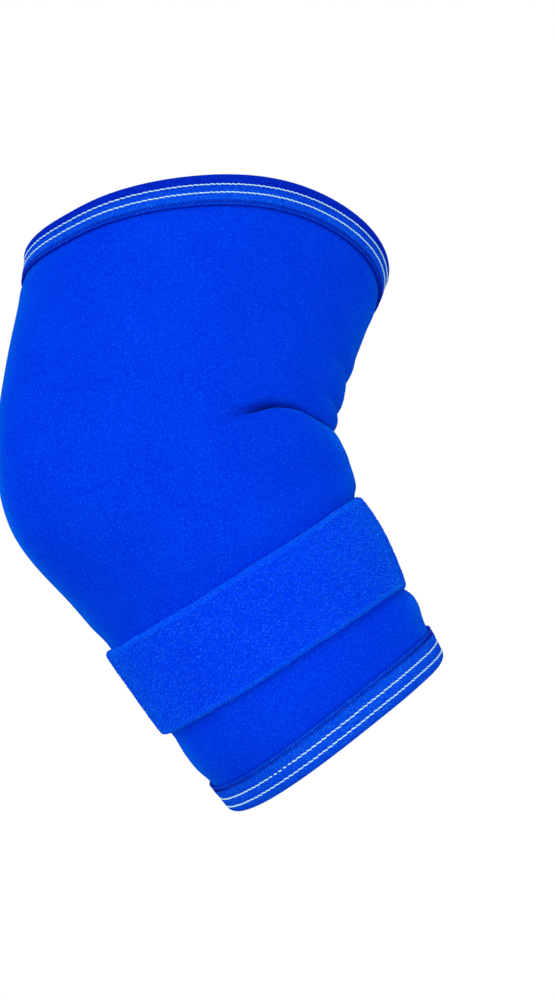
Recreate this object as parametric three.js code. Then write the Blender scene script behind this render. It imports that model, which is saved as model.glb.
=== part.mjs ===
import * as THREE from 'three';
import { ParametricGeometry } from 'three/addons/geometries/ParametricGeometry.js';

// Elbow brace: a bent neoprene sleeve, a folded tape round each hem and a strap round the forearm.
// Lengths are in millimetres and angles in degrees. +Z runs up the upper arm, +X points to the crook
// of the elbow, Y is the axis that the elbow bends about, and the origin is the middle of the elbow.

// Sleeve
const upperLength = 98; // from the middle of the elbow to the upper hem
const lowerLength = 108; // from the middle of the elbow to the lower hem
const upperLean = 7; // how far the upper hem's middle lies in front of the elbow, seen from the side
const forearmAngle = 40; // how far the lower hem's middle lies in front of the elbow
const upperRimTurn = 8; // how far the upper hem's plane is turned up at the front
const lowerRimTurn = 46; // how far the lower hem's plane is turned up at the front
const upperWidth = 155; // outside, from the front of the arm to the back
const upperDepth = 106; // outside, from one side of the arm to the other
const elbowWidth = 134;
const elbowDepth = 102;
const lowerWidth = 104;
const lowerDepth = 86;
const upperRise = 9; // the upper hem stands this much higher at the two sides of the arm
const wall = 4; // foam with knitted cloth on both faces
const creaseDepth = 5;
const creaseWidth = 7;
const elbowPointHeight = 7;
const elbowPointDrop = 8; // the elbow's point lies this far below the middle of the elbow
const elbowPointLength = 60;
const elbowPointSpread = 46; // degrees round the arm

// Tape over each hem
const bindingWidth = 12; // from the rolled edge to the inner stitch row, on either face
const bindingThickness = 1;
const hemSqueeze = 0.35; // how far the tape presses into each face of the sleeve
const hemShoulder = 4; // length over which the sleeve swells back beside the tape
const clearance = 0.3;

// Strap
const strapWidth = 38;
const strapThickness = 2.5;
const strapPlace = 58; // from the middle of the elbow to the strap's middle line
const strapStart = 112; // degrees round the arm from the crook, on the far side
const strapLap = 92; // degrees of the strap that lie over its own start
const strapRamp = 26; // degrees in which the strap climbs over its own start
const strapSqueeze = 0.8; // how far the strap presses into the sleeve
const strapShoulder = 7; // length over which the sleeve swells back beside the strap
const hookLength = 34; // degrees round the arm
const hookWidth = 32;
const hookThickness = 1.2;
const hookInset = 5; // degrees from the strap's end to the hook piece

// Smoothness
const facesAround = 44;
const rowsAboveCreases = 6;
const rowsInCreases = 13;
const rowsBelowCreases = 3;
const edgeSteps = 4; // faces round a rolled or rounded edge
const strapStep = 8; // degrees
const endTaper = 2; // degrees in which the end of a strip rounds off
const smallStation = 0.001;
const smallAngle = 0.5;

// Sections down the arm. station is 0 at the upper hem, 0.5 at the elbow and 1 at the lower hem.
// turn is a share of the way from upperRimTurn to lowerRimTurn, rise a share of upperRise, and front,
// back and side are shares of half the width and half the depth that the named sizes give there.
const sections = [
  { station: 0.0, turn: 0.0, rise: 1.0, front: 1.0, back: 1.0, side: 1.0 },
  { station: 0.12, turn: 0.02, rise: 0.8, front: 0.98, back: 1.01, side: 0.99 },
  { station: 0.25, turn: 0.08, rise: 0.45, front: 0.98, back: 1.02, side: 0.98 },
  { station: 0.38, turn: 0.24, rise: 0.15, front: 1.02, back: 1.05, side: 0.99 },
  { station: 0.5, turn: 0.46, rise: 0.0, front: 1.04, back: 1.03, side: 1.0 },
  { station: 0.62, turn: 0.72, rise: 0.0, front: 1.06, back: 0.88, side: 1.01 },
  { station: 0.75, turn: 0.89, rise: 0.0, front: 1.08, back: 0.88, side: 1.0 },
  { station: 0.88, turn: 0.99, rise: 0.0, front: 1.07, back: 1.0, side: 0.98 },
  { station: 1.0, turn: 1.0, rise: 0.0, front: 1.04, back: 1.0, side: 1.0 },
];

// Creases in the crook. reach is in degrees to each side, bow is how much lower the crease's ends lie
// than its middle, as a station, depth is a share of creaseDepth (below zero for a swelling), and
// above and below are shares of creaseWidth.
const creases = [
  { name: 'upper dimple', station: 0.38, bow: -0.01, reach: 65, depth: 0.25, above: 0.9, below: 0.5 },
  { name: 'middle dimple', station: 0.44, bow: -0.01, reach: 65, depth: 0.3, above: 0.7, below: 0.4 },
  { name: 'main crease', station: 0.49, bow: -0.03, reach: 100, depth: 1.0, above: 0.8, below: 0.5 },
  { name: 'forearm lobe', station: 0.535, bow: -0.02, reach: 100, depth: -0.6, above: 0.8, below: 2.2 },
];

// Form of the sleeve

const sideAxis = new THREE.Vector3(0, 1, 0);

// Down the arm, turned from straight down towards the front.
function downDirection(turn) {
  const radians = THREE.MathUtils.degToRad(turn);
  return new THREE.Vector3(Math.sin(radians), 0, -Math.cos(radians));
}

function frontDirection(turn) {
  return downDirection(turn + 90);
}

const spine = new THREE.CatmullRomCurve3([
  downDirection(-upperLean).multiplyScalar(-upperLength),
  new THREE.Vector3(0, 0, 0),
  downDirection(forearmAngle).multiplyScalar(lowerLength),
]);

function smoothTable(rows, columns) {
  const stations = rows.map((row) => row.station);
  const values = rows.flatMap((row) => columns.map((column) => row[column]));
  return new THREE.CubicInterpolant(stations, values, columns.length);
}

const sectionTable = smoothTable(sections, ['turn', 'rise', 'front', 'back', 'side']);
const sizeRows = [
  { station: 0, halfWidth: upperWidth / 2, halfDepth: upperDepth / 2 },
  { station: 0.5, halfWidth: elbowWidth / 2, halfDepth: elbowDepth / 2 },
  { station: 1, halfWidth: lowerWidth / 2, halfDepth: lowerDepth / 2 },
];
const sizeTable = smoothTable(sizeRows, ['halfWidth', 'halfDepth']);

// One at no distance, falling smoothly to nothing past about twice the spread.
function bell(distance, spread) {
  return Math.exp(-((distance / spread) ** 2));
}

// An angle brought between -180 and 180 degrees.
function nearAngle(angle) {
  return THREE.MathUtils.euclideanModulo(angle + 180, 360) - 180;
}

// Length along the arm from the middle of the elbow, down being positive.
function lengthFromElbow(station) {
  return (station - 0.5) * 2 * (station < 0.5 ? upperLength : lowerLength);
}

// A point of the smooth outer form, at angle 0 in the crook and 180 at the elbow's point.
function formPoint(station, angle) {
  const [turn, rise, front, back, side] = sectionTable.evaluate(station);
  const [halfWidth, halfDepth] = sizeTable.evaluate(station);
  const forward = Math.cos(THREE.MathUtils.degToRad(angle));
  const sideways = Math.sin(THREE.MathUtils.degToRad(angle));
  const elbowPoint =
    elbowPointHeight *
    bell(lengthFromElbow(station) - elbowPointDrop, elbowPointLength / 2) *
    bell(nearAngle(angle - 180), elbowPointSpread);
  const reach = halfWidth * (forward > 0 ? front : back);
  const planeTurn = THREE.MathUtils.lerp(upperRimTurn, lowerRimTurn, turn);
  return spine
    .getPoint(station)
    .addScaledVector(frontDirection(planeTurn), forward * reach - elbowPoint)
    .addScaledVector(sideAxis, sideways * side * halfDepth)
    .addScaledVector(downDirection(planeTurn), -rise * upperRise * sideways ** 2);
}

// How the form's point moves for one whole station down the arm.
function formSlope(station, angle) {
  const before = Math.max(station - smallStation, 0);
  const after = Math.min(station + smallStation, 1);
  return formPoint(after, angle).sub(formPoint(before, angle)).divideScalar(after - before);
}

function formNormal(station, angle) {
  const around = formPoint(station, angle + smallAngle).sub(formPoint(station, angle - smallAngle));
  return formSlope(station, angle).cross(around).normalize();
}

// How far the creases draw the skin in. Below the skin a crease is wider and softer.
function creaseDrop(station, angle, depth) {
  let drop = 0;
  for (const crease of creases) {
    const turned = Math.min(Math.abs(nearAngle(angle)) / crease.reach, 1);
    const offLine = lengthFromElbow(station) - lengthFromElbow(crease.station + crease.bow * turned ** 2);
    const width = (offLine < 0 ? crease.above : crease.below) * creaseWidth + Math.max(depth, 0);
    drop += crease.depth * creaseDepth * (1 - turned ** 4) ** 2 * bell(offLine, width);
  }
  return drop;
}

// A point of the sleeve or of what lies on it. shift is a length along the skin from the station,
// down the arm, and depth is how far below the outer skin the point lies.
function skinPoint(angle, { station, shift, depth }) {
  const place = station + shift / formSlope(station, angle).length();
  const inside = THREE.MathUtils.clamp(place, 0, 1);
  return formPoint(inside, angle)
    .addScaledVector(formSlope(inside, angle), place - inside)
    .addScaledVector(formNormal(inside, angle), -depth - creaseDrop(inside, angle, depth));
}

// Geometry of a strip or ring: a loop of nodes carried through a list of stops round the arm

function skinGeometry(stops, loop, pointAt) {
  const grid = stops.map((stop) => [...loop, loop[0]].map((node) => pointAt(stop, node)));
  const surface = (along, round, target) => {
    const stopPlace = along * (stops.length - 1);
    const nodePlace = round * loop.length;
    const stop = Math.min(Math.floor(stopPlace), stops.length - 2);
    const node = Math.min(Math.floor(nodePlace), loop.length - 1);
    const near = grid[stop][node].clone().lerp(grid[stop][node + 1], nodePlace - node);
    const far = grid[stop + 1][node].clone().lerp(grid[stop + 1][node + 1], nodePlace - node);
    target.copy(near.lerp(far, stopPlace - stop));
  };
  return new ParametricGeometry(surface, stops.length - 1, loop.length);
}

function ringGeometry(loop) {
  const angles = Array.from({ length: facesAround + 1 }, (_, face) => (face * -360) / facesAround);
  return skinGeometry(angles, loop, skinPoint);
}

// The nodes between the ends of a half circle that turns round an edge from one depth to another.
// outward is 1 where the edge faces down the arm and -1 where it faces up.
function roundedEdge(station, shift, outward, fromDepth, toDepth) {
  const middle = (fromDepth + toDepth) / 2;
  const radius = Math.abs(toDepth - fromDepth) / 2;
  return Array.from({ length: edgeSteps - 1 }, (_, step) => {
    const turned = (Math.PI * (step + 1)) / edgeSteps;
    return {
      station,
      shift: shift + outward * radius * Math.sin(turned),
      depth: middle + ((fromDepth - toDepth) / 2) * Math.cos(turned),
    };
  });
}

// Sleeve

const strapStation = 0.5 + strapPlace / (2 * lowerLength);

function stationsBetween(from, to, count) {
  return Array.from({ length: count }, (_, row) => THREE.MathUtils.lerp(from, to, row / count));
}

// The nodes down one face of the sleeve. sink tells how far a squeeze moves this face inwards.
function sleeveFace(faceDepth, sink) {
  const hemDepth = faceDepth + sink * hemSqueeze;
  const strapDepth = faceDepth + Math.max(sink, 0) * strapSqueeze;
  const strapEdge = strapWidth / 2;
  const besideTape = bindingWidth + hemShoulder;
  const besideStrap = strapEdge + strapShoulder;
  const firstRow = besideTape / (2 * upperLength);
  const lastRow = strapStation - besideStrap / (2 * lowerLength);
  const rows = [
    ...stationsBetween(firstRow, creases[0].station, rowsAboveCreases),
    ...stationsBetween(creases[0].station, creases.at(-1).station, rowsInCreases),
    ...stationsBetween(creases.at(-1).station, lastRow, rowsBelowCreases),
    lastRow,
  ].map((station) => ({ station, shift: 0, depth: faceDepth }));
  return [
    { station: 0, shift: 0, depth: hemDepth },
    { station: 0, shift: bindingWidth, depth: hemDepth },
    ...rows,
    { station: strapStation, shift: -strapEdge, depth: strapDepth },
    { station: strapStation, shift: 0, depth: strapDepth },
    { station: strapStation, shift: strapEdge, depth: strapDepth },
    { station: strapStation, shift: besideStrap, depth: faceDepth },
    { station: 1, shift: -bindingWidth, depth: hemDepth },
    { station: 1, shift: 0, depth: hemDepth },
  ];
}

function sleeveGeometry() {
  const outerEdge = hemSqueeze;
  const innerEdge = wall - hemSqueeze;
  return ringGeometry([
    ...sleeveFace(0, 1),
    ...roundedEdge(1, 0, 1, outerEdge, innerEdge),
    ...sleeveFace(wall, -1).reverse(),
    ...roundedEdge(0, 0, -1, innerEdge, outerEdge),
  ]);
}

// Binding: a tape folded over the edge of the sleeve

function bindingGeometry(station, outward) {
  const outside = hemSqueeze - clearance;
  const inside = wall - hemSqueeze + clearance;
  const legShifts = [bindingWidth, bindingWidth / 2, 0];
  const leg = (depth) => legShifts.map((length) => ({ station, shift: -outward * length, depth }));
  const loop = [
    ...leg(outside - bindingThickness),
    ...roundedEdge(station, 0, outward, outside - bindingThickness, inside + bindingThickness),
    ...leg(inside + bindingThickness).reverse(),
    ...leg(inside),
    ...roundedEdge(station, 0, outward, inside, outside),
    ...leg(outside).reverse(),
  ];
  return ringGeometry(outward > 0 ? loop : loop.reverse());
}

// Strip round the arm with rounded edges and ends, such as the strap

function stripGeometry(width, thickness, fromAngle, toAngle, innerDepthAt) {
  const middles = Math.ceil(Math.abs(toAngle - fromAngle) / strapStep);
  const taper = Math.sign(toAngle - fromAngle) * endTaper;
  const stops = [{ angle: fromAngle, fullness: 0 }];
  for (let middle = 0; middle <= middles; middle += 1) {
    const angle = THREE.MathUtils.lerp(fromAngle + taper, toAngle - taper, middle / middles);
    stops.push({ angle, fullness: 1 });
  }
  stops.push({ angle: toAngle, fullness: 0 });
  const flat = (width - thickness) / 2;
  const face = (depth) =>
    [-flat, 0, flat].map((shift) => ({ station: strapStation, shift, depth }));
  const loop = [
    ...face(-thickness / 2),
    ...roundedEdge(strapStation, flat, 1, -thickness / 2, thickness / 2),
    ...face(thickness / 2).reverse(),
    ...roundedEdge(strapStation, -flat, -1, thickness / 2, -thickness / 2),
  ];
  return skinGeometry(stops, loop, ({ angle, fullness }, node) => {
    const depth = innerDepthAt(angle) - thickness / 2 + node.depth * fullness;
    return skinPoint(angle, { ...node, depth });
  });
}

// Strap and its hook piece

const strapSeat = strapSqueeze - clearance; // depth of the strap's inner face
const hookSeat = strapSeat - strapThickness - clearance;
const lapSeat = hookSeat - hookThickness - clearance;
const strapEnd = strapStart - 360 - strapLap;

// The inner face of the strap, as it goes round the arm and climbs over its own start.
function strapDepthAt(angle) {
  const climbed = THREE.MathUtils.smoothstep(
    strapStart - angle,
    360 - 2 * endTaper - strapRamp,
    360 - 2 * endTaper,
  );
  return THREE.MathUtils.lerp(strapSeat, lapSeat, climbed);
}

function strapGeometry() {
  return stripGeometry(strapWidth, strapThickness, strapStart, strapEnd, strapDepthAt);
}

function hookGeometry() {
  const nearEnd = strapEnd + hookInset;
  return stripGeometry(hookWidth, hookThickness, nearEnd + hookLength, nearEnd, () => hookSeat);
}

// Pieces

const neopreneCloth = new THREE.MeshStandardMaterial({ color: 0x0437e3, roughness: 0.85 });
const tapeKnit = new THREE.MeshStandardMaterial({ color: 0x0530c4, roughness: 0.8 });
const loopPile = new THREE.MeshStandardMaterial({ color: 0x0840f6, roughness: 0.95 });
const hookPlastic = new THREE.MeshStandardMaterial({ color: 0x0a2f9e, roughness: 0.6 });

function piece(name, geometry, material) {
  const mesh = new THREE.Mesh(geometry, material);
  mesh.name = name;
  return mesh;
}

const elbowBrace = new THREE.Group();
elbowBrace.add(
  piece('sleeve', sleeveGeometry(), neopreneCloth),
  piece('upper_binding', bindingGeometry(0, -1), tapeKnit),
  piece('lower_binding', bindingGeometry(1, 1), tapeKnit.clone()),
  piece('strap', strapGeometry(), loopPile),
  piece('hook_tab', hookGeometry(), hookPlastic),
);

export default elbowBrace;
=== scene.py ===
import math

import bmesh
import bpy
import numpy as np
from mathutils import Matrix, Vector


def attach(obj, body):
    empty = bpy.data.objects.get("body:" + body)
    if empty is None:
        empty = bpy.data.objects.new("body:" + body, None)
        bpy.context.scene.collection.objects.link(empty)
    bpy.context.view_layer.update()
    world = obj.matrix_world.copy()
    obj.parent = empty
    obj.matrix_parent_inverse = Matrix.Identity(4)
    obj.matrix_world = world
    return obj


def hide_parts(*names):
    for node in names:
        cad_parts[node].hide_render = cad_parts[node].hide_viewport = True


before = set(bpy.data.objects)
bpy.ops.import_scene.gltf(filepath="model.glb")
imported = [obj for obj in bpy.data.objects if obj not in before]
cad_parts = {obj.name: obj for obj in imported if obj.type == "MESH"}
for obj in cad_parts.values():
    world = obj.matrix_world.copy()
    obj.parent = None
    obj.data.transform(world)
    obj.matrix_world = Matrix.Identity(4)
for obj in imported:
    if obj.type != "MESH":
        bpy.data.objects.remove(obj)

# Elbow brace. Every soft piece starts as a flat cut and is wrapped onto one form of the bent sleeve.
# The form's sizes are those of the CAD part, in millimetres and degrees; meshes are in metres.

MM = 0.001

for leftover in ("Cube", "Light", "Camera"):
    if leftover in bpy.data.objects:
        bpy.data.objects.remove(bpy.data.objects[leftover])
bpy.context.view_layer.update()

# Form of the sleeve

UPPER_LENGTH = 98
LOWER_LENGTH = 108
UPPER_LEAN = 7
LOWER_ANGLE = 40
UPPER_RIM_TURN = 8
LOWER_RIM_TURN = 46
UPPER_RISE = 9
WALL = 4
STRAP_WIDTH = 36.6
STRAP_THICKNESS = 2.5
ELBOW_POINT_HEIGHT = 7
ELBOW_POINT_DROP = 8
ELBOW_POINT_LENGTH = 60
ELBOW_POINT_SPREAD = 46

# Half the width and half the depth of the sleeve at its upper hem, its elbow and its lower hem
HALF_SIZES = [(0.0, 77.5, 53.0), (0.5, 67.0, 51.0), (1.0, 52.0, 43.0)]

# Station down the sleeve, share of the turn from the upper to the lower hem, share of the hem's rise, and
# how far the front, the back and the sides stand out, as shares of the half sizes
SECTIONS = [
    (0.0, 0.0, 1.0, 1.025, 1.0, 1.0),
    (0.12, 0.02, 0.8, 1.01, 1.01, 0.99),
    (0.25, 0.08, 0.45, 1.01, 1.02, 0.98),
    (0.38, 0.24, 0.15, 1.03, 1.035, 0.99),
    (0.5, 0.46, 0.0, 1.04, 1.0, 1.0),
    (0.62, 0.72, 0.0, 1.06, 0.85, 1.01),
    (0.75, 0.89, 0.0, 1.08, 0.88, 1.0),
    (0.88, 0.99, 0.0, 1.07, 1.0, 0.98),
    (1.0, 1.0, 0.0, 1.04, 1.0, 1.0),
]

# How far each hem dips below its even line, in millimetres, by degrees round the sleeve
UPPER_DIP = [
    (-180, 2.2),
    (-165, 2.2),
    (-148, 1.0),
    (-120, 0.4),
    (-90, -0.5),
    (-60, 0.2),
    (-30, 0.6),
    (180, 2.2),
]
LOWER_DIP = [
    (-180, 0.0),
    (-112, -0.3),
    (-80, 1.4),
    (-55, 3.2),
    (-30, 4.0),
    (0, 3.2),
    (40, 1.0),
    (80, 0.0),
    (180, 0.0),
]
# Shares of the brace over which the dips of the two hems fade out
UPPER_DIP_REACH = 0.25
LOWER_DIP_REACH = 0.2


def down(turn):
    """Down the sleeve, turned from straight down towards the front."""
    turn = np.radians(turn)
    return np.stack([np.sin(turn), 0 * turn, -np.cos(turn)], axis=-1)


def smooth_table(rows, station):
    """The table's columns at each station, on smooth curves through its rows."""
    rows = np.array(rows, float)
    places, values = rows[:, 0], rows[:, 1:]
    after = np.clip(np.searchsorted(places, station, side="right"), 1, len(places) - 1)
    before = after - 1
    last = len(places) - 1
    start, end = places[before], places[after]
    span = end - start
    previous = np.where(before > 0, before - 1, after)
    following = np.where(after < last, after + 1, before)
    previous_place = np.where(before > 0, places[np.maximum(before - 1, 0)], end)
    following_place = np.where(after < last, places[np.minimum(after + 1, last)], start)
    pull_before = (span / 2 / (start - previous_place))[:, None]
    pull_after = (span / 2 / (following_place - end))[:, None]
    t = ((station - start) / span)[:, None]
    share_previous = pull_before * (2 * t**2 - t**3 - t)
    share_start = (1 + pull_before) * t**3 + (-1.5 - 2 * pull_before) * t**2 + (pull_before - 0.5) * t + 1
    share_end = (-1 - pull_after) * t**3 + (1.5 + pull_after) * t**2 + 0.5 * t
    share_following = pull_after * (t**3 - t**2)
    return (
        share_previous * values[previous]
        + share_start * values[before]
        + share_end * values[after]
        + share_following * values[following]
    )


def middle_line(station):
    """Points of the line down the middle of the sleeve."""
    knots = np.array([down(-UPPER_LEAN) * -UPPER_LENGTH, np.zeros(3), down(LOWER_ANGLE) * LOWER_LENGTH])
    knots = np.array([2 * knots[0] - knots[1], *knots, 2 * knots[2] - knots[1]])
    gaps = np.sqrt(np.linalg.norm(np.diff(knots, axis=0), axis=1))
    lower = (station >= 0.5).astype(int)
    t = (station * 2 - lower)[:, None]
    p = [knots[lower + i] for i in range(4)]
    g = [gaps[lower + i][:, None] for i in range(3)]
    leave = ((p[1] - p[0]) / g[0] - (p[2] - p[0]) / (g[0] + g[1]) + (p[2] - p[1]) / g[1]) * g[1]
    arrive = ((p[2] - p[1]) / g[1] - (p[3] - p[1]) / (g[1] + g[2]) + (p[3] - p[2]) / g[2]) * g[1]
    bend = -3 * p[1] + 3 * p[2] - 2 * leave - arrive
    twist = 2 * p[1] - 2 * p[2] + leave + arrive
    return p[1] + leave * t + bend * t**2 + twist * t**3


def bell(distance, spread):
    return np.exp(-((distance / spread) ** 2))


def near_angle(angle):
    """An angle brought between -180 and 180 degrees."""
    return np.mod(angle + 180, 360) - 180


def length_from_elbow(station):
    return (station - 0.5) * 2 * np.where(station < 0.5, UPPER_LENGTH, LOWER_LENGTH)


def form_point(station, angle):
    """Points of the smooth outer form, at angle 0 in the crook and 180 at the elbow's point."""
    turn, rise, front, back, side = smooth_table(SECTIONS, station).T
    half_width, half_depth = smooth_table(HALF_SIZES, station).T
    forward = np.cos(np.radians(angle))
    sideways = np.sin(np.radians(angle))
    elbow_point = (
        ELBOW_POINT_HEIGHT
        * bell(length_from_elbow(station) - ELBOW_POINT_DROP, ELBOW_POINT_LENGTH / 2)
        * bell(near_angle(angle - 180), ELBOW_POINT_SPREAD)
    )
    reach = half_width * np.where(forward > 0, front, back)
    plane_turn = UPPER_RIM_TURN + (LOWER_RIM_TURN - UPPER_RIM_TURN) * turn
    point = middle_line(station)
    point += down(plane_turn + 90) * (forward * reach - elbow_point)[:, None]
    point[:, 1] += sideways * side * half_depth
    upper_dip = smooth_table(UPPER_DIP, near_angle(angle))[:, 0]
    lower_dip = smooth_table(LOWER_DIP, near_angle(angle))[:, 0]
    upper_share = np.clip(1 - station / UPPER_DIP_REACH, 0, 1) ** 2
    lower_share = np.clip(1 - (1 - station) / LOWER_DIP_REACH, 0, 1) ** 2
    dip = upper_dip * upper_share + lower_dip * lower_share
    point += down(plane_turn) * (dip - rise * UPPER_RISE * sideways**2)[:, None]
    return point


def form_slope(station, angle):
    """How a point of the form moves for one whole station down the sleeve."""
    before, after = np.maximum(station - 0.001, 0), np.minimum(station + 0.001, 1)
    return (form_point(after, angle) - form_point(before, angle)) / (after - before)[:, None]


def form_normal(station, angle):
    around = form_point(station, angle + 0.5) - form_point(station, angle - 0.5)
    normal = np.cross(form_slope(station, angle), around)
    return normal / np.linalg.norm(normal, axis=1)[:, None]


# Folds in the crook. A line gives the station of the fold at each angle from the crook, with its strength
# there. A profile gives, for lengths along the cloth below the line, how far the cloth stands out and how
# far it slides down the sleeve. The lower half's cloth rolls up over the main fold.
MAIN_LINE = [
    (0, 0.525, 1.0),
    (25, 0.523, 1.0),
    (41, 0.519, 1.0),
    (50, 0.508, 1.0),
    (58, 0.492, 1.0),
    (69, 0.464, 0.95),
    (78, 0.453, 0.85),
    (86, 0.453, 0.6),
    (94, 0.459, 0.25),
    (104, 0.463, 0.0),
    (180, 0.463, 0.0),
]
ROLLED_FOLD = [
    (-18.0, 0.0, 0.0),
    (-11.0, -0.3, 0.1),
    (-6.0, -1.2, 0.5),
    (-2.5, -3.4, 1.3),
    (-0.6, -6.4, 2.0),
    (0.6, -7.4, 1.2),
    (1.8, -6.4, -0.6),
    (3.4, -3.0, -2.8),
    (5.2, -0.4, -3.6),
    (8.0, 1.0, -2.9),
    (12.0, 1.9, -1.2),
    (18.0, 2.4, -0.5),
    (25.0, 1.9, -0.1),
    (31.0, 0.7, 0.0),
    (36.0, 0.0, 0.0),
]
DIMPLE = [
    (-15.0, 0.0, 0.0),
    (-8.0, 0.8, 0.0),
    (-3.0, -0.1, 0.0),
    (0.0, -1.2, 0.0),
    (3.0, -0.1, 0.0),
    (8.0, 0.8, 0.0),
    (15.0, 0.0, 0.0),
]
FOLDS = [
    ([(0, 0.30, 0.7), (30, 0.30, 0.7), (60, 0.31, 0.0), (180, 0.31, 0.0)], DIMPLE),
    ([(0, 0.42, 1.0), (30, 0.42, 1.0), (62, 0.41, 0.0), (180, 0.41, 0.0)], DIMPLE),
    (MAIN_LINE, ROLLED_FOLD),
]
# The inner face swells in over this length to either side of a fold, by this share of the fold's depth
INNER_SWELLING = 9
INNER_SHARE = 0.75


def folded(station, angle, depth):
    """How far the folds push the foam out, and how far they slide it down its length. The inner face only
    swells in softly behind each fold."""
    out, slide = np.zeros_like(station), np.zeros_like(station)
    inner = depth > 1
    for line, profile in FOLDS:
        place, strength = smooth_table(line, np.abs(near_angle(angle))).T
        strength = np.maximum(strength, 0)
        below = length_from_elbow(station) - length_from_elbow(place)
        swollen = INNER_SHARE * min(row[1] for row in profile) * bell(below, INNER_SWELLING)
        pushed, slid = smooth_table(profile, np.clip(below, profile[0][0], profile[-1][0])).T
        out += strength * np.where(inner, swollen, pushed)
        slide += strength * np.where(inner, 0, slid)
    return out, slide


def foam_point(angle, station, shift, depth):
    """Points of the sleeve or of what lies on it, in millimetres."""
    angle, station, shift, depth = np.broadcast_arrays(
        *[np.asarray(a, float) for a in (angle, station, shift, depth)]
    )
    place = station + shift / np.linalg.norm(form_slope(station, angle), axis=1)
    inside = np.clip(place, 0, 1)
    out, slide = folded(inside, angle, depth)
    slope = form_slope(inside, angle)
    slope_way = slope / np.linalg.norm(slope, axis=1)[:, None]
    return (
        form_point(inside, angle)
        + slope * (place - inside)[:, None]
        + slope_way * slide[:, None]
        + form_normal(inside, angle) * (out - depth)[:, None]
    )


# Camera at the photo's angle. It aims a little beside the elbow, by these lengths in metres.

CAMERA_AZIMUTH = -35
CAMERA_ELEVATION = -25.5
CAMERA_DISTANCE = 0.9
CAMERA_LENS = 85.86
AIM_RIGHT = 0.03679
AIM_DOWN = 0.00755


def place_camera():
    turn, lift = math.radians(CAMERA_AZIMUTH), math.radians(CAMERA_ELEVATION)
    right = Vector((math.cos(turn), math.sin(turn), 0))
    back = Vector((math.sin(turn) * math.cos(lift), -math.cos(turn) * math.cos(lift), math.sin(lift)))
    up = back.cross(right)
    eye = back * CAMERA_DISTANCE + right * AIM_RIGHT - up * AIM_DOWN
    data = bpy.data.cameras.new("photo_camera")
    data.sensor_fit = "VERTICAL"
    data.sensor_height = 36
    data.lens = CAMERA_LENS
    camera = bpy.data.objects.new("photo_camera", data)
    bpy.context.scene.collection.objects.link(camera)
    camera.matrix_world = Matrix((right, up, back)).transposed().to_4x4()
    camera.location = eye
    bpy.context.scene.camera = camera


place_camera()

# Materials


def dyed(red, green, blue):
    """A colour as the photo shows it, from 0 to 255, in the linear values that Blender takes."""
    channels = []
    for value in (red, green, blue):
        value /= 255
        channels.append(value / 12.92 if value < 0.04045 else ((value + 0.055) / 1.055) ** 2.4)
    return (*channels, 1)


def effect_group(name, inputs, outputs):
    """An empty shader node group with its named sockets."""
    group = bpy.data.node_groups.new(name, "ShaderNodeTree")
    for label, kind, value in inputs:
        socket = group.interface.new_socket(label, in_out="INPUT", socket_type=kind)
        if value is not None:
            socket.default_value = value
    for label in outputs:
        group.interface.new_socket(label, in_out="OUTPUT", socket_type="NodeSocketFloat")
    return group, group.nodes.new("NodeGroupInput"), group.nodes.new("NodeGroupOutput")


def reckon(tree, operation, first, second=None, third=None):
    """A Math node's result. Each operand is a socket or a number."""
    node = tree.nodes.new("ShaderNodeMath")
    node.operation = operation
    for socket, operand in zip(node.inputs, (first, second, third)):
        if isinstance(operand, bpy.types.NodeSocket):
            tree.links.new(operand, socket)
        elif operand is not None:
            socket.default_value = operand
    return node.outputs["Value"]


def held(tree, value, most=1.0):
    """The value kept between nothing and the most."""
    return reckon(tree, "MINIMUM", reckon(tree, "MAXIMUM", value, 0.0), most)


def noise(tree, place, scale, detail, roughness):
    node = tree.nodes.new("ShaderNodeTexNoise")
    tree.links.new(place, node.inputs["Vector"])
    if isinstance(scale, bpy.types.NodeSocket):
        tree.links.new(scale, node.inputs["Scale"])
    else:
        node.inputs["Scale"].default_value = scale
    node.inputs["Detail"].default_value = detail
    node.inputs["Roughness"].default_value = roughness
    return node.outputs["Fac"]


def yarn_grain_group():
    """Fine light and dark flecks of yarn, on broad faint patches."""
    group, entry, leave = effect_group(
        "yarn_grain",
        [("Place", "NodeSocketVector", None), ("Fleck Size", "NodeSocketFloat", 0.0006)],
        ["Shade", "Height", "Specks"],
    )
    scale = reckon(group, "DIVIDE", 1.0, entry.outputs["Fleck Size"])
    flecks = noise(group, entry.outputs["Place"], scale, 2.0, 0.6)
    patches = noise(group, entry.outputs["Place"], 45.0, 2.0, 0.5)
    sharp = reckon(group, "MULTIPLY_ADD", flecks, 2.6, -0.8)
    shade = reckon(group, "MULTIPLY_ADD", patches, 0.5, -0.25)
    shade = reckon(group, "ADD", sharp, shade)
    group.links.new(held(group, shade), leave.inputs["Shade"])
    group.links.new(flecks, leave.inputs["Height"])
    specks = reckon(group, "MULTIPLY_ADD", flecks, 9.0, -5.4)
    group.links.new(held(group, specks), leave.inputs["Specks"])
    return group


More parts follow.
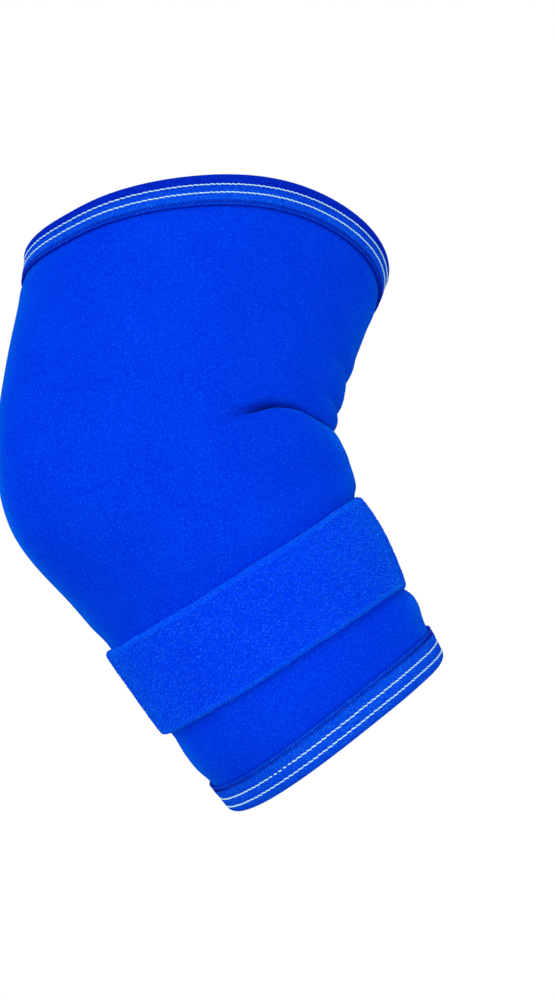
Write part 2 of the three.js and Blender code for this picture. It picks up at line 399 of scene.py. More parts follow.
def knit_group():
    """Columns of V-shaped loops, with painted shade in the grooves between them.
    Place is in metres along the cloth.
    """
    group, entry, leave = effect_group(
        "knit_loops",
        [
            ("Place", "NodeSocketVector", None),
            ("Column Width", "NodeSocketFloat", 0.0007),
            ("Loop Height", "NodeSocketFloat", 0.0006),
        ],
        ["Height", "Groove Shade"],
    )
    parts = group.nodes.new("ShaderNodeSeparateXYZ")
    group.links.new(entry.outputs["Place"], parts.inputs["Vector"])
    column = reckon(group, "DIVIDE", parts.outputs["X"], entry.outputs["Column Width"])
    row = reckon(group, "DIVIDE", parts.outputs["Y"], entry.outputs["Loop Height"])
    in_column = reckon(group, "FRACT", column)
    from_rib = reckon(group, "ABSOLUTE", reckon(group, "SUBTRACT", in_column, 0.5))
    slanted = reckon(group, "MULTIPLY_ADD", from_rib, 1.3, row)
    loop = reckon(group, "SINE", reckon(group, "MULTIPLY", slanted, 2 * math.pi))
    rib = reckon(group, "SINE", reckon(group, "MULTIPLY", in_column, math.pi))
    height = reckon(group, "MULTIPLY", rib, reckon(group, "MULTIPLY_ADD", loop, 0.3, 0.7))
    group.links.new(height, leave.inputs["Height"])
    groove_shade = reckon(group, "SUBTRACT", 1.0, height)
    group.links.new(groove_shade, leave.inputs["Groove Shade"])
    return group


YARN_GRAIN = yarn_grain_group()
KNIT_LOOPS = knit_group()


def new_material(name):
    material = bpy.data.materials.new(name)
    material.use_nodes = True
    return material, material.node_tree, material.node_tree.nodes["Principled BSDF"]


def placed_group(tree, group, place, **values):
    node = tree.nodes.new("ShaderNodeGroup")
    node.node_tree = group
    tree.links.new(place, node.inputs["Place"])
    for label, value in values.items():
        node.inputs[label.replace("_", " ")].default_value = value
    return node


def blended(tree, share, first, second):
    """The colour that lies that share of the way from the first to the second."""
    node = tree.nodes.new("ShaderNodeMix")
    node.data_type = "RGBA"
    for socket, value in zip((node.inputs[0], node.inputs[6], node.inputs[7]), (share, first, second)):
        if isinstance(value, bpy.types.NodeSocket):
            tree.links.new(value, socket)
        else:
            socket.default_value = value
    return node.outputs[2]


def bumped(tree, surface, height, strength, distance):
    node = tree.nodes.new("ShaderNodeBump")
    node.inputs["Strength"].default_value = strength
    node.inputs["Distance"].default_value = distance
    tree.links.new(height, node.inputs["Height"])
    tree.links.new(node.outputs["Normal"], surface.inputs["Normal"])


def cloth_place(tree):
    node = tree.nodes.new("ShaderNodeUVMap")
    node.uv_map = "cloth"
    return node.outputs["UV"]


def object_place(tree):
    return tree.nodes.new("ShaderNodeTexCoord").outputs["Object"]


def painted_light_and_shade(tree):
    """Share that a piece's own points carry: painted shade in a fold, painted light on a rolled edge."""
    node = tree.nodes.new("ShaderNodeAttribute")
    node.attribute_name = "shade"
    return node.outputs["Fac"]


def tinted(tree, mask, most, colour, tint):
    """The colour with the tint over it, where and as far as the mask says."""
    return blended(tree, reckon(tree, "MULTIPLY", mask, most), colour, tint)


def soft_finish(surface, sheen, tint, roughness):
    surface.inputs["Roughness"].default_value = roughness
    surface.inputs["Specular IOR Level"].default_value = 0.0
    surface.inputs["Sheen Weight"].default_value = sheen
    surface.inputs["Sheen Roughness"].default_value = 0.25
    surface.inputs["Sheen Tint"].default_value = tint


def jersey_material():
    """The smooth knitted face of the foam cloth."""
    material, tree, surface = new_material("neoprene_jersey")
    grain = placed_group(tree, YARN_GRAIN, object_place(tree), Fleck_Size=0.0006)
    knit = placed_group(tree, KNIT_LOOPS, cloth_place(tree), Column_Width=0.0009, Loop_Height=0.0008)
    colour = blended(tree, grain.outputs["Shade"], dyed(0, 46, 218), dyed(2, 70, 243))
    colour = tinted(tree, grain.outputs["Specks"], 0.45, colour, dyed(22, 110, 255))
    # Painted shade in the knit's grooves.
    colour = tinted(tree, knit.outputs["Groove Shade"], 0.18, colour, dyed(0, 30, 175))
    # Painted shade, dark navy, deep in the main fold.
    colour = tinted(tree, painted_light_and_shade(tree), 0.9, colour, dyed(0, 6, 88))
    tree.links.new(colour, surface.inputs["Base Color"])
    soft_finish(surface, 0.8, dyed(10, 150, 255), 0.7)
    height = reckon(tree, "MULTIPLY_ADD", grain.outputs["Height"], 0.6, knit.outputs["Height"])
    bumped(tree, surface, height, 0.35, 0.0003)
    return material


# Brightness of the tape, from its stitched edge to its rolled one, by shares of this width in metres
BAND_SPAN = 0.02
TAPE_BANDS = [
    (0.0, 0.55),
    (0.09, 0.75),
    (0.15, 1.0),
    (0.26, 0.9),
    (0.4, 0.7),
    (0.46, 0.4),
    (0.5, 0.1),
    (0.9, 0.2),
]


def tape_material():
    """Knitted tape: bright round its rows of thread, dark over the rolled edge unless it is painted light."""
    material, tree, surface = new_material("knitted_tape")
    place = cloth_place(tree)
    parts = tree.nodes.new("ShaderNodeSeparateXYZ")
    tree.links.new(place, parts.inputs["Vector"])
    bands = tree.nodes.new("ShaderNodeValToRGB")
    bands.color_ramp.interpolation = "EASE"
    tree.links.new(reckon(tree, "DIVIDE", parts.outputs["Y"], BAND_SPAN), bands.inputs["Fac"])
    ramp = bands.color_ramp
    while len(ramp.elements) < len(TAPE_BANDS):
        ramp.elements.new(0.5)
    for element, (where, bright) in zip(ramp.elements, TAPE_BANDS):
        element.position = where
        element.color = (bright, bright, bright, 1)
    grain = placed_group(tree, YARN_GRAIN, object_place(tree), Fleck_Size=0.0006)
    knit = placed_group(tree, KNIT_LOOPS, place, Column_Width=0.0009, Loop_Height=0.00085)
    dark = blended(tree, grain.outputs["Shade"], dyed(0, 18, 160), dyed(2, 42, 222))
    bright = blended(tree, grain.outputs["Shade"], dyed(0, 58, 235), dyed(12, 102, 255))
    # The bands' brightness, raised by painted light where the tape's points carry it.
    brightness_and_painted_light = reckon(tree, "MULTIPLY_ADD", painted_light_and_shade(tree), 0.8, bands.outputs["Color"])
    brightness_and_painted_light = held(tree, brightness_and_painted_light)
    colour = blended(tree, brightness_and_painted_light, dark, bright)
    specks = reckon(tree, "MULTIPLY", grain.outputs["Specks"], brightness_and_painted_light)
    colour = tinted(tree, specks, 0.7, colour, dyed(60, 150, 255))
    # Painted shade in the knit's grooves.
    colour = tinted(tree, knit.outputs["Groove Shade"], 0.3, colour, dyed(0, 20, 140))
    tree.links.new(colour, surface.inputs["Base Color"])
    soft_finish(surface, 0.15, dyed(0, 100, 255), 0.75)
    height = reckon(tree, "MULTIPLY_ADD", grain.outputs["Height"], 0.8, knit.outputs["Height"])
    bumped(tree, surface, height, 0.6, 0.0004)
    return material


# From the middle of the strap to where its edges start to round, and the width of the painted sheen along
# them
PILE_MIDDLE = (STRAP_WIDTH - STRAP_THICKNESS) / 2 * MM
PAINTED_SHEEN_RIM = 0.0008


def pile_material():
    """Brushed loop pile with light flecks on the tips of its tufts, with painted sheen along the strap's
    edges and where it is seen edge-on.
    """
    material, tree, surface = new_material("loop_pile")
    parts = tree.nodes.new("ShaderNodeSeparateXYZ")
    tree.links.new(cloth_place(tree), parts.inputs["Vector"])
    from_middle = reckon(tree, "ABSOLUTE", reckon(tree, "SUBTRACT", parts.outputs["Y"], PILE_MIDDLE))
    sheen_rim = reckon(tree, "MULTIPLY_ADD", from_middle, 500, -500 * (PILE_MIDDLE - PAINTED_SHEEN_RIM))
    grain = placed_group(tree, YARN_GRAIN, object_place(tree), Fleck_Size=0.00055)
    colour = blended(tree, grain.outputs["Shade"], dyed(0, 54, 236), dyed(4, 80, 255))
    # Painted sheen, paler blue, along both edges of the strap.
    colour = blended(tree, held(tree, sheen_rim, 0.3), colour, dyed(8, 108, 255))
    # Painted sheen, pale cyan, where the pile is seen edge-on.
    facing = tree.nodes.new("ShaderNodeLayerWeight").outputs["Facing"]
    grazing_sheen = reckon(tree, "MULTIPLY_ADD", facing, 2.0, -1.15)
    colour = blended(tree, held(tree, grazing_sheen, 0.8), colour, dyed(20, 160, 255))
    colour = tinted(tree, grain.outputs["Specks"], 0.6, colour, dyed(60, 145, 255))
    tree.links.new(colour, surface.inputs["Base Color"])
    soft_finish(surface, 0.5, dyed(10, 150, 255), 0.9)
    bumped(tree, surface, grain.outputs["Height"], 0.6, 0.0004)
    return material


def thread_material(name, dark, light, gloss):
    material, tree, surface = new_material(name)
    grain = placed_group(tree, YARN_GRAIN, object_place(tree), Fleck_Size=0.0004)
    tree.links.new(blended(tree, grain.outputs["Shade"], dark, light), surface.inputs["Base Color"])
    surface.inputs["Roughness"].default_value = 0.6
    surface.inputs["Specular IOR Level"].default_value = gloss
    bumped(tree, surface, grain.outputs["Height"], 0.4, 0.0002)
    return material


def hook_material():
    """Moulded strip of small hooks in rows."""
    material, tree, surface = new_material("hook_strip")
    grain = placed_group(tree, YARN_GRAIN, object_place(tree), Fleck_Size=0.0012)
    rows = placed_group(tree, KNIT_LOOPS, cloth_place(tree), Column_Width=0.0014, Loop_Height=0.0018)
    colour = blended(tree, grain.outputs["Shade"], dyed(6, 34, 140), dyed(10, 46, 170))
    tree.links.new(colour, surface.inputs["Base Color"])
    surface.inputs["Roughness"].default_value = 0.5
    bumped(tree, surface, rows.outputs["Height"], 0.8, 0.0008)
    return material


jersey = jersey_material()
tape_knit = tape_material()
loop_pile = pile_material()
pale_thread = thread_material("pale_thread", dyed(150, 222, 255), dyed(225, 255, 255), 0.3)
navy_thread = thread_material("navy_thread", dyed(0, 10, 112), dyed(0, 30, 176), 0.03)
moulded_hooks = hook_material()

# Pieces


def finished(name, shape, material):
    """The object made from the shape, with its finish, riding on the brace."""
    mesh = bpy.data.meshes.new(name)
    shape.to_mesh(mesh)
    shape.free()
    mesh.shade_smooth()
    mesh.materials.append(material)
    piece = bpy.data.objects.new(name, mesh)
    bpy.context.scene.collection.objects.link(piece)
    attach(piece, "root")
    return piece


def loop_node(loop, along):
    """The columns of the loop's nodes at shares of the way along it."""
    return loop[np.round(along * (len(loop) - 1)).astype(int)].T


def wrapped_cut(columns, loop, girth, place, shade=None):
    """A flat cut whose every point is carried to the place that the function gives for it. loop is the
    section that the cut is folded to, girth its length round the form in metres, and shade a function for
    the share of painted light or shade that the points carry for their material."""
    rows = len(loop) - 1
    steps = np.linalg.norm(np.diff(loop[:, -2:], axis=0), axis=1)
    if loop.shape[1] == 3:
        steps += np.abs(np.diff(loop[:, 0])) * 2 * LOWER_LENGTH
    lengths = np.concatenate([[0], np.cumsum(steps)]) * MM
    shape = bmesh.new()
    cloth = shape.loops.layers.uv.new("cloth")
    bmesh.ops.create_grid(shape, x_segments=columns, y_segments=rows, size=0.5)
    across = np.array([v.co.x + 0.5 for v in shape.verts])
    along = np.array([v.co.y + 0.5 for v in shape.verts])
    for face in shape.faces:
        for corner in face.loops:
            flat = corner.vert.co
            corner[cloth].uv = ((flat.x + 0.5) * girth, lengths[round((flat.y + 0.5) * rows)])
    for vertex, point in zip(shape.verts, place(across, along) * MM):
        vertex.co = point
    if shade is not None:
        layer = shape.verts.layers.float.new("shade")
        for vertex, share in zip(shape.verts, shade(across, along)):
            vertex[layer] = share
    bmesh.ops.remove_doubles(shape, verts=shape.verts, dist=0.00001)
    bmesh.ops.recalc_face_normals(shape, faces=shape.faces)
    return shape


def half_turn(first, last, steps):
    """Nodes of a half circle from one depth to another: how far it stands out, and its depth."""
    angles = np.linspace(0, math.pi, steps + 2)[1:-1]
    middle, radius = (first + last) / 2, (last - first) / 2
    return [(abs(radius) * math.sin(a), middle - radius * math.cos(a)) for a in angles]


# Sleeve, pressed in under the tapes and the strap, and swelling back over their shoulders

HEM_SQUEEZE = 0.35
HEM_SHOULDER = 4
TAPE_WIDTH = 12
STRAP_SQUEEZE = 0.8
STRAP_SHOULDER = 6
STRAP_PLACE = 58
STRAP_STATION = 0.5 + STRAP_PLACE / (2 * LOWER_LENGTH)
SLEEVE_COLUMNS = 180
SLEEVE_GIRTH = 0.36


def strap_drop(angle):
    """How far down the sleeve the strap has slipped from its even line."""
    return 2.9 + 1.9 * np.cos(np.radians(angle)) + 1.2 * bell(near_angle(angle + 25), 35)


def strap_crown(shift, angle):
    """How far the foam bulges under the middle of the strap, most beside the crook."""
    most = 0.7 + 1.3 * bell(near_angle(angle + 30), 40)
    return most * np.clip(1 - (shift / STRAP_WIDTH * 2) ** 2, 0, 1)


def strap_pull(angle):
    """How much harder the strap presses beside the crook."""
    return 1.9 * bell(near_angle(angle + 32), 40)


def hem_press(from_hem):
    """How far a tape presses the foam's outer or inner face in."""
    return HEM_SQUEEZE * np.clip((TAPE_WIDTH + HEM_SHOULDER - from_hem) / HEM_SHOULDER, 0, 1)


def pressed(station, angle):
    """How far the tapes and the strap press the outer face in, with a soft swelling beside them."""
    length = length_from_elbow(station)
    from_hem = np.minimum(length + UPPER_LENGTH, LOWER_LENGTH - length)
    hem = hem_press(from_hem) - 0.35 * bell(from_hem - 18, 4.5)
    offset = length - STRAP_PLACE - strap_drop(angle)
    from_strap = np.abs(offset) - STRAP_WIDTH / 2
    squeeze = STRAP_SQUEEZE + strap_pull(angle)
    swelling = 0.1 + 0.7 * bell(near_angle(angle + 30), 60)
    strap = squeeze * np.clip(1 - from_strap / STRAP_SHOULDER, 0, 1) - swelling * bell(from_strap - 9.5, 5)
    return hem + strap - strap_crown(offset, angle)


def sleeve_loop():
    """Station, shift and depth of points down the outer face, closest at the folds, and up the inner one."""
    places = [*np.linspace(0, 0.42, 56)[:-1], *np.linspace(0.42, 0.62, 68)[:-1], *np.linspace(0.62, 1, 60)]
    outer = [(s, 0.0, 0.0) for s in places]
    inner = [(s, 0.0, float(WALL)) for s in np.linspace(1, 0, 96)]
    lower_edge = [(1.0, out, depth) for out, depth in half_turn(HEM_SQUEEZE, WALL - HEM_SQUEEZE, 6)]
    upper_edge = [(0.0, -out, depth) for out, depth in half_turn(WALL - HEM_SQUEEZE, HEM_SQUEEZE, 6)]
    return np.array([*outer, *lower_edge, *inner, *upper_edge, outer[0]])


def place_sleeve(across, along):
    station, shift, depth = loop_node(sleeve_loop(), along)
    angle = across * -360
    outside = (depth == 0).astype(float)
    inside = (depth == WALL).astype(float)
    from_hem = np.minimum(station * 2 * UPPER_LENGTH, (1 - station) * 2 * LOWER_LENGTH)
    depth = depth + outside * pressed(station, angle) - inside * hem_press(from_hem)
    return foam_point(angle, station, shift, depth)


def shade_sleeve(across, along):
    """How far painted shade darkens the cloth, deep in the main fold where the cloth meets itself."""
    station, shift, depth = loop_node(sleeve_loop(), along)
    angle = np.abs(near_angle(across * -360))
    line, strength = smooth_table(MAIN_LINE, angle).T
    below = length_from_elbow(station) - length_from_elbow(line)
    covered = -0.6 - 2.6 * bell(angle - 30, 35)
    away = np.where(below < covered, below - covered, np.maximum(below, 0))
    return (depth == 0) * np.clip(strength, 0, 1) * bell(away, 2.0)


def make_sleeve():
    shape = wrapped_cut(SLEEVE_COLUMNS, sleeve_loop(), SLEEVE_GIRTH, place_sleeve, shade_sleeve)
    sleeve = finished("sleeve_cloth", shape, jersey)
    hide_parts("sleeve")
    return sleeve


# Tape folded over each hem, with its stitches. Rows of thread are named by their lengths from the edge.

CLEARANCE = 0.3
TAPE_COLUMNS = 260
TAPE_THICKNESS = 1
TAPE_FACE = HEM_SQUEEZE - CLEARANCE - TAPE_THICKNESS
THREAD_ROWS = (2.2, 5.9)
EDGE_ROW = 10.1
TAPE_LEG = 11.4
ROLL_FULLNESS = 1.08
THREAD_PITCH = 2.2
THREAD_SINK = 0.24
EDGE_PITCH = 1.05
EDGE_SINK = 0.05
# Lengths, widths and heights of the stitches
THREAD_SIZES = (2.3, 0.55, 0.6)
LOOSE_SIZES = (1.5, 0.55, 0.6)
EDGE_SIZES = (2.9, 0.42, 0.5)
# A few stitches of the lower hem's inner row are loose between these degrees
LOOSE_FROM, LOOSE_TO = -163, -149
# Station of each hem, which way is off the brace, and how far the tape is drawn over the rolled edge
HEMS = {"upper": (0.0, -1, 0.0), "lower": (1.0, 1, 1.6)}


def tape_rise(from_edge):
    """How far the tape puffs out between its rows of thread, and how far they pull it in."""
    rise = 0.5 * bell(from_edge + 0.5, 2.2)
    rise = rise + 0.16 * bell(from_edge - 4.35, 1.3) + 0.16 * bell(from_edge - 8.2, 1.2)
    for row in (*THREAD_ROWS, EDGE_ROW):
        rise = rise - 0.28 * bell(from_edge - row, 0.55)
    return rise


def tape_loop(drawn):
    """How far nodes lie from the hem and their depth: outer leg, rolled edge, inner leg and back."""
    outer = [(d - drawn, TAPE_FACE - tape_rise(d)) for d in np.linspace(TAPE_LEG, drawn, 34)]
    roll = [(-out * ROLL_FULLNESS, depth) for out, depth in half_turn(outer[-1][1], WALL - TAPE_FACE, 11)]
    inner = [(d, WALL - TAPE_FACE) for d in np.linspace(0, TAPE_WIDTH, 12)]
    lining = [(d, WALL - TAPE_FACE - TAPE_THICKNESS) for d in np.linspace(TAPE_WIDTH, 0, 12)]
    under = [(-out, depth) for out, depth in half_turn(lining[-1][1], TAPE_FACE + TAPE_THICKNESS, 6)]
    back = [(d, TAPE_FACE + TAPE_THICKNESS) for d in np.linspace(0, TAPE_LEG - drawn, 12)]
    return np.array([*outer, *roll, *inner, *lining, *under, *back, outer[0]])


def make_tape(hem, girth):
    station, outward, drawn = HEMS[hem]
    loop = tape_loop(drawn)

    def place(across, along):
        from_edge, depth = loop_node(loop, along)
        return foam_point(across * -360, station, -outward * from_edge, depth)

    def painted_roll_light(across, along):
        """Painted light on a tape that is drawn over its edge: a little all over it, most over the rolled
        edge.
        """
        from_edge, depth = loop_node(loop, along)
        return (0.25 + 0.75 * np.clip(1.6 - from_edge, 0, 1)) * min(drawn, 1)

    shape = wrapped_cut(TAPE_COLUMNS, loop, girth, place, painted_roll_light)
    tape = finished(hem + "_tape", shape, tape_knit)
    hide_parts(hem + "_binding")
    return tape


def surface_frames(station, angle, shift, depth):
    """Places on the sleeve, with the directions round it, down it and out of it."""
    here = foam_point(angle, station, shift, depth)
    around = foam_point(angle + 0.4, station, shift, depth) - foam_point(angle - 0.4, station, shift, depth)
    below = foam_point(angle, station, shift + 0.4, depth) - foam_point(angle, station, shift - 0.4, depth)
    around /= np.linalg.norm(around, axis=1)[:, None]
    outside = np.cross(below, around)
    outside /= np.linalg.norm(outside, axis=1)[:, None]
    return here, around, np.cross(around, outside), outside


def even_angles(station, shift, pitch):
    """Angles that step round the sleeve at about one pitch, in millimetres."""
    fine = np.linspace(-180, 180, 1441)
    points = foam_point(fine, station, shift, TAPE_FACE)
    travelled = np.concatenate([[0], np.cumsum(np.linalg.norm(np.diff(points, axis=0), axis=1))])
    count = round(travelled[-1] / pitch)
    return np.interp(np.arange(count) * travelled[-1] / count, travelled, fine)


def sewn(name, frames, sizes, material):
    """A row of stitches, each a short rounded thread. Frames give the stitches' places and their ways
    along the thread and out of the cloth, and sizes their lengths, widths and heights."""
    shape = bmesh.new()
    turned = Matrix.Rotation(math.pi / 2, 4, "Y")
    bmesh.ops.create_uvsphere(shape, u_segments=6, v_segments=6, radius=0.5, matrix=turned)
    stitch = shape.verts.layers.int.new("stitch")
    for vertex in shape.verts:
        blunt = math.sqrt(0.5 / max(math.hypot(vertex.co.y, vertex.co.z), 0.01))
        vertex.co = (vertex.co.x, vertex.co.y * blunt, vertex.co.z * blunt)
    made = 1
    while made < len(sizes):
        more = min(made, len(sizes) - made)
        copied = [vertex for vertex in shape.verts if vertex[stitch] < more]
        copied += [edge for edge in shape.edges if edge.verts[0][stitch] < more]
        copied += [face for face in shape.faces if face.verts[0][stitch] < more]
        for copy in bmesh.ops.duplicate(shape, geom=copied)["geom"]:
            if isinstance(copy, bmesh.types.BMVert):
                copy[stitch] += made
        made += more
    places, ways, outside = frames
    ways = ways / np.linalg.norm(ways, axis=1)[:, None]
    sides = np.cross(outside, ways)
    which = np.array([vertex[stitch] for vertex in shape.verts])
    along, across, up = (np.array([vertex.co for vertex in shape.verts]) * sizes[which]).T[:, :, None]
    points = places[which] + ways[which] * along + sides[which] * across + outside[which] * up
    for vertex, point in zip(shape.verts, points * MM):
        vertex.co = point
    return finished(name, shape, material)


def make_thread_rows(hem):
    """The two rows of pale thread along a hem."""
    station, outward, drawn = HEMS[hem]
    chance = np.random.default_rng(3)
    places, ways, outside, sizes = [], [], [], []
    for row in THREAD_ROWS:
        shift = -outward * (row - drawn)
        angles = even_angles(station, shift, THREAD_PITCH)
        depth = TAPE_FACE - tape_rise(row) - THREAD_SINK
        here, around, below, out = surface_frames(station, angles, shift, depth)
        places.append(here + below * chance.uniform(-0.06, 0.06, (len(here), 1)))
        ways.append(around + below * (0.17 + chance.uniform(-0.05, 0.05, (len(here), 1))))
        outside.append(out)
        loose = (near_angle(angles) > LOOSE_FROM) & (near_angle(angles) < LOOSE_TO)
        loose &= hem == "lower" and row == THREAD_ROWS[1]
        sizes.append(np.where(loose[:, None], LOOSE_SIZES, THREAD_SIZES))
    frames = [np.concatenate(part) for part in (places, ways, outside)]
    return sewn(hem + "_thread_rows", frames, np.concatenate(sizes), pale_thread)


def make_edge_stitches(hem):
    """The slanted dark stitches that bind the tape's edge down."""
    station, outward, drawn = HEMS[hem]
    chance = np.random.default_rng(7)
    shift = -outward * (EDGE_ROW - drawn)
    angles = even_angles(station, shift, EDGE_PITCH)
    depth = TAPE_FACE - tape_rise(EDGE_ROW) - EDGE_SINK
    here, around, below, outside = surface_frames(station, angles, shift, depth)
    wander = (len(here), 1)
    ways = below * -outward + around * (0.35 + chance.uniform(-0.12, 0.12, wander)) - outside * 0.12
    sizes = EDGE_SIZES + chance.uniform(-1, 1, wander) * np.array([0.35, 0.05, 0.0])
    places = here + below * chance.uniform(-0.12, 0.12, wander)
    return sewn(hem + "_edge_stitches", (places, ways, outside), sizes, navy_thread)


# Strap and hook strip. Lengths along them are degrees round the sleeve.

STRAP_START = 112
STRAP_LAP = 92
STRAP_RAMP = 26
STRAP_COLUMNS = 320
END_TAPER = 2
END_CORNER = 6
BAND_FACE_NODES = 30
BAND_EDGE_NODES = 7
HOOK_LENGTH = 34
HOOK_INSET = 5
HOOK_WIDTH = 32
HOOK_THICKNESS = 1.2
HOOK_COLUMNS = 40
HOOK_FACE_NODES = 16
HOOK_EDGE_NODES = 4
STRAP_SEAT = STRAP_SQUEEZE - CLEARANCE
HOOK_SEAT = STRAP_SEAT - STRAP_THICKNESS - CLEARANCE
LAP_SEAT = HOOK_SEAT - HOOK_THICKNESS - CLEARANCE
STRAP_END = STRAP_START - 360 - STRAP_LAP
# Lengths of the flat strap and hook strip in metres, for their surface patterns
STRAP_CUT = 0.4
HOOK_CUT = 0.03


def strap_seat(angle):
    """The inner face of the strap, as it goes round the sleeve and climbs over its own start."""
    climb = (STRAP_START - angle - (360 - 2 * END_TAPER - STRAP_RAMP)) / STRAP_RAMP
    climb = np.clip(climb, 0, 1)
    return STRAP_SEAT + (LAP_SEAT - STRAP_SEAT) * climb * climb * (3 - 2 * climb)


def band_loop(width, thickness, face_nodes, edge_nodes):
    """Nodes round a band's section: shift down the sleeve and depth from its middle."""
    flat = (width - thickness) / 2
    face = [(shift, -thickness / 2) for shift in np.linspace(-flat, flat, face_nodes)]
    back = [(shift, thickness / 2) for shift in np.linspace(flat, -flat, face_nodes)]
    lower = [(flat + out, depth) for out, depth in half_turn(-thickness / 2, thickness / 2, edge_nodes)]
    upper = [(-flat - out, depth) for out, depth in half_turn(thickness / 2, -thickness / 2, edge_nodes)]
    return np.array([*face, *lower, *back, *upper, face[0]])


def band_point(angle, shift, depth, start, end, thickness, seat):
    """Points of a band round the sleeve, thin and rounded at its ends and a little wavy at its edges."""
    to_end = np.minimum(np.abs(angle - start), np.abs(angle - end))
    full = np.sin(np.clip(to_end / END_TAPER, 0, 1) * math.pi / 2)
    corner = 1 - 0.16 * (1 - np.clip(to_end / END_CORNER, 0, 1)) ** 2.5
    edge = np.abs(shift) / (STRAP_WIDTH / 2)
    wave = 0.12 * np.sin(np.radians(angle * 7)) * edge**2
    wave = wave + 0.06 * np.sin(np.radians(angle * 17 + 40)) * edge**4
    middle = seat(angle) - thickness / 2 + strap_pull(angle) - strap_crown(shift, angle)
    shift = shift * corner + wave + strap_drop(angle)
    return foam_point(angle, STRAP_STATION, shift, middle + depth * full)


def wrapped_band(columns, loop, length, start, end, thickness, seat):
    """A band's cut carried round the sleeve, from one angle to another."""

    def place(across, along):
        shift, depth = loop_node(loop, along)
        return band_point(start + (end - start) * across, shift, depth, start, end, thickness, seat)

    return wrapped_cut(columns, loop, length, place)


def make_strap():
    loop = band_loop(STRAP_WIDTH, STRAP_THICKNESS, BAND_FACE_NODES, BAND_EDGE_NODES)
    shape = wrapped_band(
        STRAP_COLUMNS, loop, STRAP_CUT, STRAP_START, STRAP_END, STRAP_THICKNESS, strap_seat
    )
    strap = finished("strap_band", shape, loop_pile)
    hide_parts("strap")
    return strap


def hook_seat(angle):
    return HOOK_SEAT + 0 * angle


def make_hook_tab():
    loop = band_loop(HOOK_WIDTH, HOOK_THICKNESS, HOOK_FACE_NODES, HOOK_EDGE_NODES)
    near_end = STRAP_END + HOOK_INSET
    far_end = near_end + HOOK_LENGTH
    shape = wrapped_band(HOOK_COLUMNS, loop, HOOK_CUT, far_end, near_end, HOOK_THICKNESS, hook_seat)
    tab = finished("hook_strip", shape, moulded_hooks)
    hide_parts("hook_tab")
    return tab


# Pile of the strap, a tuft on each face of a grid

TUFT_COLUMNS = 420
TUFT_ROWS = 45
PILE_HEIGHT = 0.5
# Nodes of each rounded edge that the pile reaches round
PILE_EDGE_NODES = 6


def pile_section(growth):
    """The strap's outer face and most of its edges, grown outwards to where the tufts end."""
    width, thickness = STRAP_WIDTH + 2 * growth, STRAP_THICKNESS + 2 * growth
    section = band_loop(width, thickness, BAND_FACE_NODES, BAND_EDGE_NODES)[:-1]
    return np.roll(section, PILE_EDGE_NODES, axis=0)[: BAND_FACE_NODES + 2 * PILE_EDGE_NODES + 1]


def make_pile():
    """The tufts that stand up all over the strap's outer face and round its edges."""
    base, tips = pile_section(0), pile_section(PILE_HEIGHT)
    nodes = np.arange(len(base))
    chance = np.random.default_rng(5)
    shape = bmesh.new()
    cloth = shape.loops.layers.uv.new("cloth")
    bmesh.ops.create_grid(shape, x_segments=TUFT_COLUMNS, y_segments=TUFT_ROWS, size=0.5)
    bmesh.ops.split_edges(shape, edges=shape.edges)
    cell = Vector((1 / TUFT_COLUMNS, 1 / TUFT_ROWS, 0))
    for face in shape.faces:
        middle = face.calc_center_median()
        nudge = Vector((chance.uniform(-0.35, 0.35) * cell.x, chance.uniform(-0.35, 0.35) * cell.y, 0))
        spread = chance.uniform(0.55, 0.85)
        for vertex in face.verts:
            vertex.co = middle + nudge + (vertex.co - middle) * spread
    grown = bmesh.ops.extrude_discrete_faces(shape, faces=shape.faces)
    for face in grown["faces"]:
        middle = face.calc_center_median()
        lean = Vector((chance.uniform(-0.6, 0.6) * cell.x, chance.uniform(-0.6, 0.6) * cell.y, 0))
        lift = chance.uniform(0.55, 1.1)
        for vertex in face.verts:
            vertex.co = middle + lean + (vertex.co - middle) * 0.4 + Vector((0, 0, lift))
    for face in shape.faces:
        for corner in face.loops:
            row = (corner.vert.co.y + 0.5) * nodes[-1]
            down_cloth = PILE_MIDDLE + np.interp(row, nodes, base[:, 0]) * MM
            corner[cloth].uv = (corner.vert.co.x * STRAP_CUT, down_cloth)
    flat = np.array([v.co for v in shape.verts])
    across = np.clip(flat[:, 0] + 0.5, 0.004, 0.996)
    node = np.clip(flat[:, 1] + 0.5, 0, 1) * nodes[-1]
    columns = [np.interp(node, nodes, column) for column in (*base.T, *tips.T)]
    base_shift, base_depth, tip_shift, tip_depth = columns
    lift = flat[:, 2]
    shift = base_shift + (tip_shift - base_shift) * lift
    depth = base_depth + (tip_depth - base_depth) * lift
    angle = STRAP_START + (STRAP_END - STRAP_START) * across
    points = band_point(angle, shift, depth, STRAP_START, STRAP_END, STRAP_THICKNESS, strap_seat)
    for vertex, point in zip(shape.verts, points * MM):
        vertex.co = point
    bmesh.ops.recalc_face_normals(shape, faces=shape.faces)
    return finished("strap_pile", shape, loop_pile)


# The brace put together

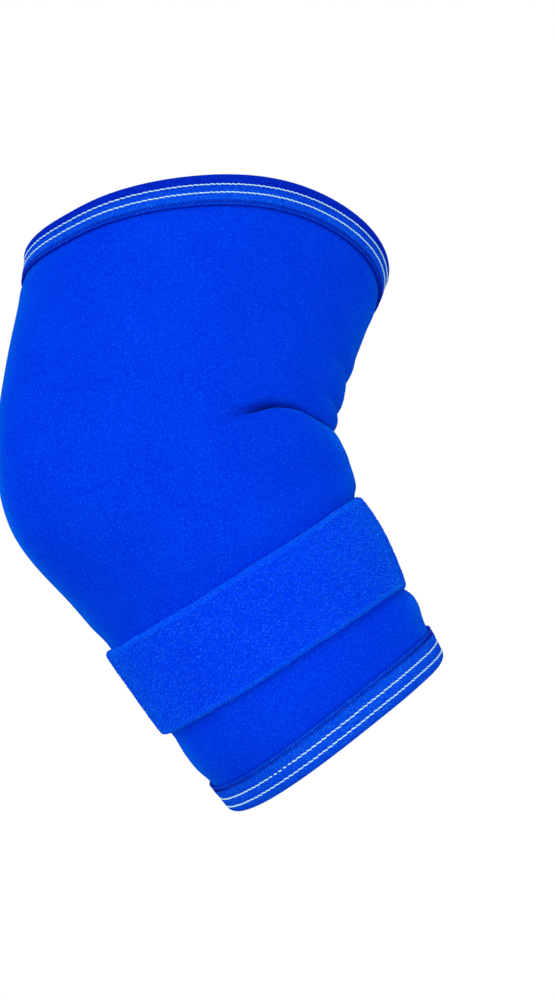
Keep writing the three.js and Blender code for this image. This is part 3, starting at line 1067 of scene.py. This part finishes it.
sleeve = make_sleeve()
strap = make_strap()
hook_tab = make_hook_tab()
pile = make_pile()
for hem, girth in (("upper", 0.432), ("lower", 0.306)):
    tape = make_tape(hem, girth)
    threads = [make_thread_rows(hem), make_edge_stitches(hem)]


# Floor and light

FLOOR_HEIGHT = -0.95
# Name, place, size in metres and power in watts of each soft lamp, which faces the brace
LAMPS = [
    ("key", (-1.35, -1.1, 0.35), 0.8, 9.5),
    ("low_fill", (-1.0, -0.9, -0.4), 0.8, 3.5),
    ("right_fill", (0.8, -1.3, -0.1), 0.7, 3.6),
    ("left_rim", (-0.7, 1.2, 0.0), 0.5, 4),
]


def lay_floor():
    shape = bmesh.new()
    bmesh.ops.create_grid(shape, x_segments=1, y_segments=1, size=30)
    bmesh.ops.translate(shape, verts=shape.verts, vec=(0, 0, FLOOR_HEIGHT))
    mesh = bpy.data.meshes.new("floor")
    shape.to_mesh(mesh)
    shape.free()
    floor = bpy.data.objects.new("floor", mesh)
    bpy.context.scene.collection.objects.link(floor)
    material, tree, surface = new_material("pale_floor")
    surface.inputs["Base Color"].default_value = (0.8, 0.8, 0.8, 1)
    surface.inputs["Roughness"].default_value = 0.9
    mesh.materials.append(material)


def light_backdrop():
    """An even pale room, shown pure white behind the brace."""
    world = bpy.data.worlds.new("studio")
    bpy.context.scene.world = world
    world.use_nodes = True
    tree = world.node_tree
    seen = tree.nodes.new("ShaderNodeLightPath").outputs["Is Camera Ray"]
    strength = reckon(tree, "MULTIPLY_ADD", seen, 0.34, 0.66)
    tree.links.new(strength, tree.nodes["Background"].inputs["Strength"])
    tree.nodes["Background"].inputs["Color"].default_value = (1, 1, 1, 1)


def hang_lamps():
    for name, place, size, power in LAMPS:
        data = bpy.data.lights.new(name, "AREA")
        data.size = size
        data.energy = power
        lamp = bpy.data.objects.new(name, data)
        bpy.context.scene.collection.objects.link(lamp)
        lamp.location = place
        lamp.rotation_euler = Vector(place).to_track_quat("Z", "Y").to_euler()


lay_floor()
light_backdrop()
hang_lamps()
bpy.context.scene.view_settings.view_transform = "Standard"
